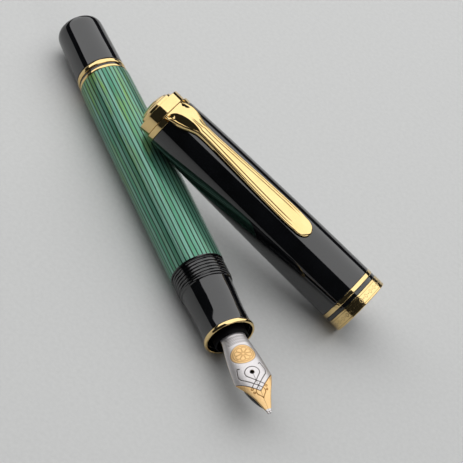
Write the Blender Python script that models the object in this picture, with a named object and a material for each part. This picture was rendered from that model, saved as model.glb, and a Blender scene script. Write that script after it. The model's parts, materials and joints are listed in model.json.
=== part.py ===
"""Piston-filling fountain pen lying on its barrel, with its cap beside it and leaning on it.

Two local frames carry the parts. In the pen's frame x runs along the pen's axis from the
end of the piston knob (x = 0) to the nib, and in the cap's frame x runs along the cap's axis
from the top of the finial (x = 0) to the lip. The world is metres with +Z up; the tables
below are millimetres.
"""

import math

import bmesh
import bpy
from mathutils import Matrix, Vector

MM = 0.001

# Arrangement: the cap's axis lies over world X, the pen is turned away from it.
PEN_YAW_DEG = -33.55        # the pen's axis, seen from above
CAP_LEAN_DEG = 11.95        # the cap comes down from the barrel to its lip
CAP_LIP_FROM_KNOB = (100.8, -22.84)  # centre of the lip from the knob's end, seen from above
NIB_ROLL_DEG = 15.9         # the nib's top is rolled about the pen's axis
CLIP_ROLL_DEG = 16.3        # the clip is rolled about the cap's axis

# Pen
BARREL_R = 6.75             # widest radius, and the height of the pen's axis
BARREL_START = 19.4
BARREL_END = 79.8
KNOB_LENGTH = 16.4
RESERVOIR_R = 4.4           # bore of the ink reservoir
RESERVOIR_OUTER_R = 5.45
SPINDLE_R = 1.85
ROD_R = 2.6
SLIDE_GAP = 0.3             # between pieces that slide or turn in each other
SEAM = 0.1                  # between trim rings that lie face to face
THREAD_START = 80.1
THREAD_PITCH = 0.85
THREAD_RIDGES = 5
THREAD_PEAK_R = 6.62
THREAD_ROOT_R = 6.3
GRIP_END = 98.1
NIB_TOP = 3.45              # height of the nib's crest over the pen's axis
NIB_THICKNESS = 0.35
NIB_SLIT = 0.12
BREATHER_X = 111.05
BREATHER_R = 0.58
NIB_TIP = 120.9

# Cap
CAP_LENGTH = 69.2
LIP_R = 7.8
LIP_CHAMFER = 0.15
CLIP_RING_R = 6.2
COLLAR_R = 6.65
STEM_R = 2.4
BORE_R = 6.95               # bore at the lip, over the pen's threads
CAP_THREAD_X = 58.5
CLIP_ROOT_X = 4.95
CLIP_END_X = 48.8

ROUND = 32                  # sides of the large turned parts
SMALL_ROUND = 24            # sides of the small and hidden turned parts
THIN_ROUND = 16
FEED_ROUND = 12
FLAT_SHARE = math.cos(math.pi / ROUND)  # distance of a flat side as a share of the radius


def clear_scene():
    for obj in list(bpy.data.objects):
        bpy.data.objects.remove(obj, do_unlink=True)


def material(name, colour, roughness, metallic=0.0):
    mat = bpy.data.materials.new(name)
    mat.use_nodes = True
    shader = mat.node_tree.nodes["Principled BSDF"]
    shader.inputs["Base Color"].default_value = (*colour, 1.0)
    shader.inputs["Roughness"].default_value = roughness
    shader.inputs["Metallic"].default_value = metallic
    return mat


GOLD = (0.83, 0.60, 0.26)
RHODIUM = (0.78, 0.77, 0.76)
BRASS = (0.66, 0.50, 0.22)
BLACK = (0.008, 0.008, 0.010)


def empty(name, parent=None, matrix=None):
    obj = bpy.data.objects.new(name, None)
    bpy.context.scene.collection.objects.link(obj)
    obj.parent = parent
    obj.matrix_local = matrix or Matrix.Identity(4)
    return obj


def add_object(name, bm, mat, parent, smooth_angle=35.0):
    """Turn a bmesh into a named object with outward faces and its own material."""
    bmesh.ops.remove_doubles(bm, verts=bm.verts, dist=1e-7)
    bmesh.ops.recalc_face_normals(bm, faces=bm.faces)
    mesh = bpy.data.meshes.new(name)
    bm.to_mesh(mesh)
    bm.free()
    mesh.shade_smooth()
    mesh.set_sharp_from_angle(angle=math.radians(smooth_angle))
    mesh.materials.append(mat)
    obj = bpy.data.objects.new(name, mesh)
    bpy.context.scene.collection.objects.link(obj)
    obj.parent = parent
    return obj


def turned(name, outline, mat, parent, sides=ROUND, smooth_angle=35.0):
    """Turn an outline of (x, radius) points about the local X axis.

    The outline is a closed loop. An edge that would lie on the axis is left out, and the
    points on the axis become the centres of the end faces. The part is turned by half a
    side at the end, so that a flat side and not an edge is at the bottom.
    """
    bm = bmesh.new()
    points = [bm.verts.new((x * MM, r * MM, 0.0)) for x, r in outline]
    for here, there in zip(points, points[1:] + points[:1]):
        if here.co.y > 0.0 or there.co.y > 0.0:
            bm.edges.new((here, there))
    bmesh.ops.spin(
        bm,
        geom=bm.verts[:] + bm.edges[:],
        cent=(0.0, 0.0, 0.0),
        axis=(1.0, 0.0, 0.0),
        angle=math.tau,
        steps=sides,
        use_merge=True,
    )
    half_side = Matrix.Rotation(math.pi / sides, 3, "X")
    bmesh.ops.rotate(bm, cent=(0.0, 0.0, 0.0), matrix=half_side, verts=bm.verts)
    return add_object(name, bm, mat, parent, smooth_angle)


def tube_outline(x0, x1, inner, outer, edge=0.0):
    """A plain ring or tube, with its two outer edges broken by a small chamfer."""
    if edge == 0.0:
        return [(x0, inner), (x0, outer), (x1, outer), (x1, inner)]
    rim = outer - edge
    return [(x0, inner), (x0, rim), (x0 + edge, outer), (x1 - edge, outer), (x1, rim), (x1, inner)]


def lofted(name, sections, mat, parent, smooth_angle=40.0):
    """Skin closed sections that all have the same number of points, and cap both ends."""
    bm = bmesh.new()
    rings = [[bm.verts.new(Vector(p) * MM) for p in section] for section in sections]
    count = len(rings[0])
    for low, high in zip(rings, rings[1:]):
        for i in range(count):
            j = (i + 1) % count
            bm.faces.new((low[i], low[j], high[j], high[i]))
    bm.faces.new(rings[0])
    bm.faces.new(rings[-1])
    return add_object(name, bm, mat, parent, smooth_angle)


def cut(obj, cutter):
    """Cut obj with a hidden cutter that shares its parent."""
    cutter.hide_render = True
    cutter.display_type = "WIRE"
    modifier = obj.modifiers.new("cut_" + cutter.name, "BOOLEAN")
    modifier.operation = "DIFFERENCE"
    modifier.solver = "EXACT"
    modifier.object = cutter


def box_cutter(name, low, high, parent):
    bm = bmesh.new()
    bmesh.ops.create_cube(bm, size=1.0)
    size = [(b - a) * MM for a, b in zip(low, high)]
    centre = [(a + b) / 2.0 * MM for a, b in zip(low, high)]
    bmesh.ops.scale(bm, vec=size, verts=bm.verts)
    bmesh.ops.translate(bm, vec=centre, verts=bm.verts)
    return add_object(name, bm, material(name, BLACK, 0.5), parent)


# ---------------------------------------------------------------- pen: filling mechanism

def make_piston_knob(parent):
    """Black cap of the filler, hollow at the front where it runs over the guide bush."""
    outline = [
        (0.0, 0.0), (0.0, 3.0), (0.2, 4.2), (0.75, 5.2), (1.6, 5.75), (3.0, 5.95),
        (10.0, 6.08), (KNOB_LENGTH, 6.22), (KNOB_LENGTH, 4.6), (11.9, 4.6),
        (11.9, SPINDLE_R + SLIDE_GAP), (4.0, SPINDLE_R + SLIDE_GAP), (4.0, 0.0),
    ]
    return turned("piston_knob", outline, material("knob_resin", BLACK, 0.12), parent)


def make_spindle(parent):
    """Brass spindle in the knob: its coarse thread drives the hollow piston rod."""
    outline = [
        (4.3, 0.0), (4.3, SPINDLE_R), (12.0, SPINDLE_R), (12.0, 3.2), (12.8, 3.2),
        (12.8, SPINDLE_R), (22.0, SPINDLE_R), (22.0, 1.55), (23.0, 1.55), (23.5, SPINDLE_R),
        (47.8, SPINDLE_R), (48.5, 1.3), (48.5, 0.0),
    ]
    mat = material("spindle_brass", BRASS, 0.3, 1.0)
    return turned("spindle", outline, mat, parent, THIN_ROUND)


def make_guide_bush(parent):
    """Brass housing screwed into the barrel's end: it guides the spindle and the rod."""
    outline = [
        (13.1, SPINDLE_R + SLIDE_GAP), (13.1, 4.1), (13.3, 4.3), (19.2, 4.3), (19.5, 4.1),
        (31.6, 4.1), (32.0, 3.9), (32.0, ROD_R + SLIDE_GAP), (21.6, ROD_R + SLIDE_GAP),
        (21.6, SPINDLE_R + SLIDE_GAP),
    ]
    mat = material("bush_brass", BRASS, 0.28, 1.0)
    return turned("guide_bush", outline, mat, parent, SMALL_ROUND)


def make_piston_rod(parent):
    """Hollow rod: the spindle turns inside it, and the seal sits on its front stub."""
    bore = SPINDLE_R + SLIDE_GAP
    outline = [
        (49.0, 0.0), (49.0, bore), (22.0, bore), (22.0, ROD_R), (50.0, ROD_R),
        (50.0, 1.6), (54.0, 1.6), (54.0, 0.0),
    ]
    mat = material("rod_plastic", (0.02, 0.02, 0.022), 0.4)
    return turned("piston_rod", outline, mat, parent, THIN_ROUND)


def make_piston_seal(parent):
    """Sealing head with two lips that wipe the reservoir's wall."""
    lip = RESERVOIR_R - 0.2
    waist = 3.7
    hub = 1.9
    outline = [
        (50.3, hub), (50.3, 3.6), (50.6, lip), (51.6, lip), (52.0, waist), (53.8, waist),
        (54.2, lip), (55.1, lip), (55.4, 3.6), (55.4, 0.0), (54.4, 0.0), (54.4, hub),
    ]
    mat = material("seal_plastic", (0.55, 0.55, 0.52), 0.45)
    return turned("piston_seal", outline, mat, parent, SMALL_ROUND)


def make_bush_gasket(parent):
    """Thin sealing washer on the front face of the guide bush."""
    outline = tube_outline(32.2, 32.9, ROD_R + SLIDE_GAP, 4.1)
    mat = material("gasket_rubber", (0.03, 0.03, 0.03), 0.7)
    return turned("bush_gasket", outline, mat, parent, SMALL_ROUND)


# ---------------------------------------------------------------- pen: barrel and trim

def make_knob_ring(parent):
    outline = tube_outline(KNOB_LENGTH + SEAM, 17.75, 4.6, 6.3)
    return turned("knob_ring", outline, material("knob_ring_gold", GOLD, 0.15, 1.0), parent)


def make_spacer_ring(parent):
    outline = tube_outline(17.85, 18.45, 4.6, 6.05)
    return turned("spacer_ring", outline, material("spacer_resin", BLACK, 0.2), parent)


def make_barrel_ring(parent):
    outline = tube_outline(18.55, 19.3, 4.6, 6.36)
    return turned("barrel_ring", outline, material("barrel_ring_gold", GOLD, 0.15, 1.0), parent)


def make_barrel_sleeve(parent):
    """Striped outer sleeve, straight over its front half and drawn in towards the knob."""
    bore = RESERVOIR_OUTER_R + SLIDE_GAP
    outline = [
        (BARREL_START, bore), (BARREL_START, 6.34), (19.9, 6.42), (24.0, 6.52), (32.0, 6.62),
        (41.0, 6.70), (50.0, BARREL_R), (79.4, BARREL_R), (BARREL_END, 6.66),
        (BARREL_END, bore),
    ]
    mat = material("striped_sleeve", (0.22, 0.46, 0.36), 0.15)
    return turned("barrel_sleeve", outline, mat, parent)


def make_ink_reservoir(parent):
    outline = tube_outline(19.6, 75.6, RESERVOIR_R, RESERVOIR_OUTER_R)
    mat = material("reservoir_green", (0.02, 0.16, 0.08), 0.1)
    return turned("ink_reservoir", outline, mat, parent, SMALL_ROUND)


def make_grip_section(parent):
    """Black section: spigot in the barrel, cap thread, waisted grip and open mouth."""
    outline = [(75.9, 3.6), (75.9, RESERVOIR_OUTER_R), (79.95, RESERVOIR_OUTER_R), (79.95, 6.5)]
    for ridge in range(THREAD_RIDGES):
        x = THREAD_START + ridge * THREAD_PITCH
        outline.append((x, THREAD_ROOT_R))
        outline.append((x + THREAD_PITCH / 2.0, THREAD_PEAK_R))
    thread_end = THREAD_START + THREAD_RIDGES * THREAD_PITCH
    outline += [
        (thread_end, THREAD_ROOT_R), (thread_end + 0.2, 6.5), (85.0, 6.5), (85.15, 6.26),
        (88.3, 6.08), (91.0, 5.92), (94.0, 5.82), (96.5, 5.88), (GRIP_END, 6.02),
        (GRIP_END, 5.35), (95.2, 4.95), (95.2, 4.45), (86.6, 4.45), (86.6, 3.6),
    ]
    return turned("grip_section", outline, material("grip_resin", BLACK, 0.12), parent)


def make_section_ring(parent):
    outline = [
        (GRIP_END + SEAM, 5.45), (GRIP_END + SEAM, 6.1), (GRIP_END + 0.75, 6.12),
        (GRIP_END + 0.9, 6.0), (GRIP_END + 0.9, 5.6),
    ]
    return turned("section_ring", outline, material("section_ring_gold", GOLD, 0.15, 1.0), parent)


# ---------------------------------------------------------------- pen: nib unit

# x, half width, height of the crest, drop from the crest to the side edges
NIB_TABLE = [
    (89.0, 2.83, NIB_TOP, 1.45),
    (95.0, 2.83, NIB_TOP, 1.45),
    (100.7, 2.85, NIB_TOP, 1.45),
    (103.7, 3.42, NIB_TOP, 1.62),
    (105.6, 3.74, NIB_TOP, 1.78),
    (107.6, 4.04, NIB_TOP, 1.92),
    (110.2, 4.27, NIB_TOP, 2.06),
    (111.7, 4.40, 3.43, 2.05),
    (113.2, 3.98, 3.38, 1.50),
    (115.4, 2.93, 3.15, 0.62),
    (117.5, 1.95, 2.75, 0.26),
    (119.3, 1.20, 2.30, 0.12),
    (NIB_TIP, 0.55, 1.90, 0.05),
]
NIB_COLUMNS = 8


def nib_section(x, half_width, crest, drop):
    """Arc over the top of the nib and back under it, one thickness lower."""
    radius = (half_width ** 2 + drop ** 2) / (2.0 * drop)
    reach = math.asin(min(1.0, half_width / radius))
    upper = []
    lower = []
    for step in range(NIB_COLUMNS + 1):
        angle = -reach + 2.0 * reach * step / NIB_COLUMNS
        across = math.sin(angle)
        up = math.cos(angle)
        centre = crest - radius
        inner = radius - NIB_THICKNESS
        upper.append((x, radius * across, centre + radius * up))
        lower.append((x, inner * across, centre + inner * up))
    return upper + lower[::-1]


def make_nib(parent):
    """Gold nib: a curved sheet with shoulders, breather hole and slit."""
    sections = [nib_section(*row) for row in NIB_TABLE]
    nib = lofted("nib", sections, material("nib_gold", GOLD, 0.18, 1.0), parent)
    bm = bmesh.new()
    bmesh.ops.create_cone(
        bm, cap_ends=True, segments=THIN_ROUND, radius1=BREATHER_R * MM, radius2=BREATHER_R * MM,
        depth=4.0 * MM, matrix=Matrix.Translation(Vector((BREATHER_X, 0.0, NIB_TOP)) * MM),
    )
    hole = add_object("breather_cutter", bm, material("breather_cutter", BLACK, 0.5), parent)
    slit_low = (BREATHER_X, -NIB_SLIT / 2.0, 0.0)
    slit_high = (NIB_TIP + 1.0, NIB_SLIT / 2.0, 5.0)
    slit = box_cutter("slit_cutter", slit_low, slit_high, parent)
    cut(nib, hole)
    cut(nib, slit)
    return nib


def make_nib_tipping(parent):
    """Hard pellet at the writing end, rounded and a little flat."""
    half_size = (0.33, 0.5, 0.4)
    centre = (NIB_TIP + SEAM + half_size[0], 0.0, 1.62)
    bm = bmesh.new()
    bmesh.ops.create_uvsphere(bm, u_segments=12, v_segments=8, radius=MM)
    bmesh.ops.scale(bm, vec=half_size, verts=bm.verts)
    bmesh.ops.translate(bm, vec=Vector(centre) * MM, verts=bm.verts)
    mat = material("tipping_metal", RHODIUM, 0.25, 1.0)
    return add_object("nib_tipping", bm, mat, parent, 60.0)


def make_feed(parent):
    """Black ink feed under the nib: a finned comb, then a nose drawn to a point."""
    fin_r = 2.72
    core_r = 2.0
    fins_start = 101.0
    fin_count = 7
    fin_pitch = 1.5
    fin_width = 0.75
    outline = [(88.0, 0.0), (88.0, 2.5), (88.4, fin_r)]
    for fin in range(fin_count):
        x = fins_start + fin * fin_pitch
        outline += [(x, fin_r), (x, core_r), (x + fin_pitch - fin_width, core_r)]
        outline.append((x + fin_pitch - fin_width, fin_r))
    outline += [
        (113.0, 2.62), (114.6, 2.35), (116.2, 1.95), (117.7, 1.4), (118.9, 0.7), (119.2, 0.0),
    ]
    mat = material("feed_plastic", BLACK, 0.3)
    return turned("feed", outline, mat, parent, FEED_ROUND)


def make_nib_collar(parent):
    """Threaded sleeve that holds nib and feed together and screws into the section."""
    outline = [
        (87.0, 3.75), (87.0, 4.0), (87.2, 4.15), (100.1, 4.15), (100.3, 4.05), (100.3, 3.75),
    ]
    mat = material("collar_plastic", BLACK, 0.35)
    return turned("nib_collar", outline, mat, parent, SMALL_ROUND)


# ---------------------------------------------------------------- cap

# x, outer radius of the cap tube
CAP_TUBE_TABLE = [
    (6.45, 6.6), (11.2, 6.86), (20.6, 7.18), (32.0, 7.4), (46.0, 7.62), (63.9, 7.74),
]
LINER_START = 11.8
LINER_END = 45.7


def make_finial(parent):
    """Domed gold top with the stem that clamps the clip ring to the cap."""
    outline = [
        (0.0, 0.0), (0.08, 1.4), (0.45, 2.9), (1.0, 3.9), (1.5, 4.45), (1.85, 4.65),
        (1.95, 4.6), (1.95, STEM_R), (11.0, STEM_R), (11.0, 0.0),
    ]
    mat = material("finial_gold", GOLD, 0.15, 1.0)
    return turned("finial", outline, mat, parent, ROUND)


def make_finial_nut(parent):
    outline = tube_outline(9.3, 11.2, STEM_R + SLIDE_GAP, 4.6)
    return turned("finial_nut", outline, material("nut_brass", BRASS, 0.3, 1.0), parent, SMALL_ROUND)


def make_clip_ring(parent):
    outline = tube_outline(2.05, 4.8, STEM_R + SLIDE_GAP, CLIP_RING_R)
    return turned("clip_ring", outline, material("clip_ring_gold", GOLD, 0.15, 1.0), parent)


def make_collar_ring(parent, clip_frame):
    """Step ring under the clip ring, notched where the clip's root passes over it."""
    outline = tube_outline(4.9, 6.35, STEM_R + SLIDE_GAP, COLLAR_R)
    ring = turned("collar_ring", outline, material("collar_ring_gold", GOLD, 0.15, 1.0), parent)
    notch = box_cutter("root_notch", (4.0, -3.75, 5.0), (7.0, 3.75, 9.0), clip_frame)
    cut(ring, notch)
    return ring


# x, half width, radius of the hollow underside, crest over the cap's axis, drop of the sides
CLIP_TABLE = [
    (CLIP_ROOT_X, 3.3, 6.3, 6.35, 0.9),
    (6.2, 3.4, 6.3, 7.15, 0.95),
    (6.25, 3.4, 7.0, 7.2, 0.95),
    (7.6, 3.4, 7.1, 8.1, 0.95),
    (9.5, 2.9, 7.2, 8.6, 0.8),
    (11.5, 2.1, 7.3, 8.65, 0.6),
    (13.6, 1.57, 7.4, 8.6, 0.4),
    (22.5, 1.93, 7.65, 8.65, 0.4),
    (34.3, 2.4, 7.9, 8.8, 0.4),
    (42.0, 2.55, 8.05, 8.9, 0.4),
    (45.5, 2.35, 8.05, 8.85, 0.4),
    (47.4, 1.75, 8.05, 8.75, 0.35),
    (CLIP_END_X - 0.3, 0.8, 8.05, 8.6, 0.2),
]


def clip_section(x, half_width, under_radius, crest, drop):
    """Strip with a hollow underside that follows the tube, and a crowned top."""
    under = []
    for side in (-1.0, -0.5, 0.0, 0.5, 1.0):
        across = side * half_width
        under.append((x, across, math.sqrt(under_radius ** 2 - across ** 2)))
    top = [
        (x, half_width, crest - drop), (x, half_width * 0.6, crest - drop * 0.3),
        (x, 0.0, crest), (x, -half_width * 0.6, crest - drop * 0.3),
        (x, -half_width, crest - drop),
    ]
    return under + top


def make_clip_arm(parent):
    """Sprung clip: broad root at the ring, narrow neck, blade widening to a round end."""
    sections = [clip_section(*row) for row in CLIP_TABLE]
    return lofted("clip_arm", sections, material("clip_gold", GOLD, 0.15, 1.0), parent)


def make_cap_tube(parent):
    """Black tube: closed top with the stem's hole, stepped bore, thread and band seats."""
    band_seat_r = 7.2
    land_r = 7.72
    outline = list(CAP_TUBE_TABLE)
    outline += [
        (64.0, band_seat_r), (65.3, band_seat_r), (65.3, land_r), (66.15, land_r),
        (66.15, band_seat_r), (69.05, band_seat_r), (69.05, BORE_R), (62.5, BORE_R),
    ]
    for ridge in range(3):
        x = CAP_THREAD_X + (2 - ridge) * THREAD_PITCH
        outline.append((x + THREAD_PITCH / 2.0, BORE_R - 0.25))
        outline.append((x, BORE_R))
    outline += [(57.6, 6.45), (46.2, 6.4), (9.0, 6.05), (9.0, STEM_R + SLIDE_GAP)]
    outline.append((6.45, STEM_R + SLIDE_GAP))
    return turned("cap_tube", outline, material("cap_resin", BLACK, 0.1), parent)


def make_cap_liner(parent):
    """Inner cap: a cup that closes on the section's mouth and keeps the nib wet."""
    outline = [
        (LINER_START, 0.0), (LINER_START, 5.6), (12.2, 5.75), (LINER_END, 6.05),
        (LINER_END, 5.3), (12.8, 5.0), (12.8, 0.0),
    ]
    mat = material("liner_plastic", (0.012, 0.012, 0.013), 0.4)
    return turned("cap_liner", outline, mat, parent, SMALL_ROUND)


def make_thin_band(parent):
    outline = tube_outline(64.1, 65.2, 7.3, LIP_R)
    return turned("thin_band", outline, material("thin_band_gold", GOLD, 0.18, 1.0), parent)


def make_lip_band(parent):
    outline = tube_outline(66.25, CAP_LENGTH, 7.3, LIP_R, LIP_CHAMFER)
    return turned("lip_band", outline, material("lip_band_gold", GOLD, 0.2, 1.0), parent)


# ---------------------------------------------------------------- assembly

def rolled(degrees):
    return Matrix.Rotation(math.radians(degrees), 4, "X")


def make_pen(root):
    knob_slide = empty("knob_slide_axis", root)
    knob_turn = empty("knob_turn_axis", knob_slide)
    piston = empty("piston_axis", root)
    nib_slide = empty("nib_unit_slide_axis", root)
    nib_turn = empty("nib_unit_turn_axis", nib_slide, rolled(NIB_ROLL_DEG))
    make_knob_ring(knob_slide)
    make_piston_knob(knob_turn)
    make_spindle(knob_turn)
    make_piston_rod(piston)
    make_piston_seal(piston)
    make_guide_bush(root)
    make_bush_gasket(root)
    make_spacer_ring(root)
    make_barrel_ring(root)
    make_barrel_sleeve(root)
    make_ink_reservoir(root)
    make_grip_section(root)
    make_section_ring(root)
    make_nib_collar(nib_slide)
    make_nib(nib_turn)
    make_nib_tipping(nib_turn)
    make_feed(nib_turn)


def make_cap(root):
    clip_frame = empty("clip_axis", root, rolled(CLIP_ROLL_DEG))
    make_finial(root)
    make_finial_nut(root)
    make_clip_ring(root)
    make_collar_ring(root, clip_frame)
    make_clip_arm(clip_frame)
    make_cap_tube(root)
    make_cap_liner(root)
    make_thin_band(root)
    make_lip_band(root)


def pen_matrix():
    """Pen's frame: the barrel's lowest flat side on the ground, turned about Z."""
    place = Matrix.Translation(Vector((0.0, 0.0, BARREL_R * FLAT_SHARE)) * MM)
    return place @ Matrix.Rotation(math.radians(PEN_YAW_DEG), 4, "Z")


def cap_matrix():
    """Cap's frame: the lip's chamfer touches the ground, the top is raised by the lean."""
    lean = math.radians(CAP_LEAN_DEG)
    lip_x, lip_y = CAP_LIP_FROM_KNOB
    top_x = lip_x - CAP_LENGTH * math.cos(lean)
    lip_z = LIP_R * FLAT_SHARE * math.cos(lean)
    top_z = lip_z + (CAP_LENGTH - LIP_CHAMFER) * math.sin(lean)
    place = Matrix.Translation(Vector((top_x, lip_y, top_z)) * MM)
    return place @ Matrix.Rotation(lean, 4, "Y")


def centre_on_base(roots):
    """Move the whole object so that the origin is under the middle of its box."""
    bpy.context.view_layer.update()
    depsgraph = bpy.context.evaluated_depsgraph_get()
    corners = []
    for obj in bpy.context.scene.objects:
        if obj.type == "MESH" and not obj.hide_render:
            mesh = obj.evaluated_get(depsgraph).data
            corners += [obj.matrix_world @ v.co for v in mesh.vertices]
    low = [min(c[axis] for c in corners) for axis in range(3)]
    high = [max(c[axis] for c in corners) for axis in range(3)]
    shift = Vector((-(low[0] + high[0]) / 2.0, -(low[1] + high[1]) / 2.0, -low[2]))
    for root in roots:
        root.location += shift
    bpy.context.view_layer.update()


def main():
    clear_scene()
    pen_root = empty("pen_axis", None, pen_matrix())
    cap_root = empty("cap_axis", None, cap_matrix())
    make_pen(pen_root)
    make_cap(cap_root)
    centre_on_base([pen_root, cap_root])


main()
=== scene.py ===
"""Looks for the fountain pen and its cap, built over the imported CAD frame.

Lengths in the tables are millimetres in two local frames: x runs along the pen from the
knob's end to the nib, or along the cap from the top of the finial to the lip.
"""
import json
import math

import bmesh
import bpy
import numpy as np
from mathutils import Matrix, Vector


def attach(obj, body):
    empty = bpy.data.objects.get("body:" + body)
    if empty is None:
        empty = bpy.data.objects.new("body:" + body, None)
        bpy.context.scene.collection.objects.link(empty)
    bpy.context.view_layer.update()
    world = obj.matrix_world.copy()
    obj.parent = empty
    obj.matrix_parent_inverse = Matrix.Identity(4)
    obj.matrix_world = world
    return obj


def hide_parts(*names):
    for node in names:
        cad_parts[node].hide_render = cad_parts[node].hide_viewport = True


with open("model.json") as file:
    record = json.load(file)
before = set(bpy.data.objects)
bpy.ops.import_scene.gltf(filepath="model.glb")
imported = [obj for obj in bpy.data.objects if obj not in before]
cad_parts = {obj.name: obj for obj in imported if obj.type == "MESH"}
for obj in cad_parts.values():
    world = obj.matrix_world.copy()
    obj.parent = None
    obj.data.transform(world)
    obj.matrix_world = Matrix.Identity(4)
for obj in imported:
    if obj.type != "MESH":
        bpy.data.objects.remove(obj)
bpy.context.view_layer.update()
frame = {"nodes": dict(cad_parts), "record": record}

MM = 0.001
SIDES = 144                 # sides of the turned pieces
TRIM = 0.02                 # the fine pieces stay this far inside the faceted solids
CAP_LENGTH = 69.2
LIP_FACE_R = 7.475          # where the lip mount sits on the lip's flat end
NIB_ROLL = math.radians(15.9)
CLIP_ROLL = math.radians(16.3)
MOUNTS = {m["name"]: m for m in frame["record"]["mounts"]}


def local_frame(origin, along, side):
    """Matrix whose X runs along a part and whose Y points to its side."""
    up = along.cross(side)
    basis = Matrix((along, side, up)).transposed().to_4x4()
    return Matrix.Translation(origin) @ basis


def pen_frame():
    mount = MOUNTS["knob_end_face"]
    along = -Vector(mount["axis"]).normalized()
    side = Vector((0.0, 0.0, 1.0)).cross(along)
    return local_frame(Vector(mount["pos_m"]), along, side)


def cap_frame():
    mount = MOUNTS["cap_lip_face"]
    along = Vector(mount["axis"]).normalized()
    side = Vector((0.0, 1.0, 0.0))
    up = along.cross(side)
    origin = Vector(mount["pos_m"]) - up * LIP_FACE_R * MM - along * CAP_LENGTH * MM
    return local_frame(origin, along, side)


PEN = pen_frame()
CAP = cap_frame()
NIB = PEN @ Matrix.Rotation(NIB_ROLL, 4, "X")
CLIP = CAP @ Matrix.Rotation(CLIP_ROLL, 4, "X")


# ---- curves and meshes

def spline(xs, table, column):
    """Smooth values through one column of a table whose first column is x (no overshoot)."""
    knots = np.array([row[0] for row in table], float)
    values = np.array([row[column] for row in table], float)
    steps = np.diff(knots)
    slopes = np.diff(values) / steps
    tangents = np.zeros(len(knots))
    for i in range(1, len(knots) - 1):
        if slopes[i - 1] * slopes[i] > 0.0:
            tangents[i] = 2.0 * slopes[i - 1] * slopes[i] / (slopes[i - 1] + slopes[i])
    tangents[0] = slopes[0]
    tangents[-1] = slopes[-1]
    xs = np.clip(np.asarray(xs, float), knots[0], knots[-1])
    i = np.clip(np.searchsorted(knots, xs, side="right") - 1, 0, len(steps) - 1)
    t = (xs - knots[i]) / steps[i]
    h00 = 2 * t ** 3 - 3 * t ** 2 + 1
    h10 = t ** 3 - 2 * t ** 2 + t
    h01 = -2 * t ** 3 + 3 * t ** 2
    h11 = t ** 3 - t ** 2
    start = h00 * values[i] + h10 * steps[i] * tangents[i]
    return start + h01 * values[i + 1] + h11 * steps[i] * tangents[i + 1]


def smoothstep(low, high, value):
    t = np.clip((value - low) / (high - low), 0.0, 1.0)
    return t * t * (3.0 - 2.0 * t)


def fillet(corners, arc_steps=5, closed=True):
    """Outline of (x, r, fillet radius) corners with each corner rounded off."""
    points = []
    count = len(corners)
    for i, (x, r, radius) in enumerate(corners):
        here = Vector((x, r))
        if radius == 0.0 or (not closed and i in (0, count - 1)):
            points.append((x, r))
            continue
        to_before = Vector(corners[i - 1][:2]) - here
        to_after = Vector(corners[(i + 1) % count][:2]) - here
        half_angle = to_before.angle(to_after) / 2.0
        reach = radius / max(math.tan(half_angle), 0.05)
        reach = min(reach, 0.48 * to_before.length, 0.48 * to_after.length)
        start = here + to_before.normalized() * reach
        end = here + to_after.normalized() * reach
        for step in range(arc_steps + 1):
            t = step / arc_steps
            point = start * (1 - t) ** 2 + here * 2 * t * (1 - t) + end * t ** 2
            points.append((point.x, point.y))
    return points


def profile(table, x0, x1, spacing):
    """Points (x, r) of a smooth profile between two places."""
    count = max(2, int(round((x1 - x0) / spacing)) + 1)
    xs = np.linspace(x0, x1, count)
    return list(zip(xs.tolist(), spline(xs, table, 1).tolist()))


def weld(obj):
    """Join points that lie on each other and turn all faces outwards."""
    bm = bmesh.new()
    bm.from_mesh(obj.data)
    bmesh.ops.remove_doubles(bm, verts=bm.verts, dist=1e-8)
    bmesh.ops.recalc_face_normals(bm, faces=bm.faces)
    bm.to_mesh(obj.data)
    bm.free()


def add_piece(name, points, faces, place, mats, body, nodes, slot, **extra):
    """Make one visible piece from local millimetre points and tie it to its CAD body.

    extra: uvs (one per face corner), face_mats, sharp (degrees), attributes (per point),
    welded (points that lie on each other are joined).
    """
    points = np.asarray(points, float) * MM
    matrix = np.array(place)
    world = points @ matrix[:3, :3].T + matrix[:3, 3]
    mesh = bpy.data.meshes.new(name)
    mesh.from_pydata(world.tolist(), [], faces)
    if "uvs" in extra:
        layer = mesh.uv_layers.new(name="UVMap")
        layer.data.foreach_set("uv", np.asarray(extra["uvs"], np.float32).ravel())
    for key, values in extra.get("attributes", {}).items():
        attribute = mesh.attributes.new(key, "FLOAT", "POINT")
        attribute.data.foreach_set("value", np.asarray(values, np.float32))
    for mat in mats:
        mesh.materials.append(mat)
    if "face_mats" in extra:
        mesh.polygons.foreach_set("material_index", np.asarray(extra["face_mats"], np.int32))
    mesh.validate(clean_customdata=False)
    mesh.shade_smooth()
    mesh.set_sharp_from_angle(angle=math.radians(extra.get("sharp", 30.0)))
    obj = bpy.data.objects.new(name, mesh)
    bpy.context.scene.collection.objects.link(obj)
    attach(obj, body)
    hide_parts(*nodes)
    if extra.get("welded"):
        weld(obj)


def grid_faces(rows, columns, wrap=True):
    """Quads of a grid of points, whose last column may join its first."""
    faces = []
    for i in range(rows - 1):
        low = i * columns
        high = low + columns
        for j in range(columns if wrap else columns - 1):
            j2 = (j + 1) % columns
            faces.append((low + j, low + j2, high + j2, high + j))
    return faces


def shifted(faces, offset):
    """The same faces on points that start further down the list."""
    return [[offset + k for k in face] for face in faces]


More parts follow.
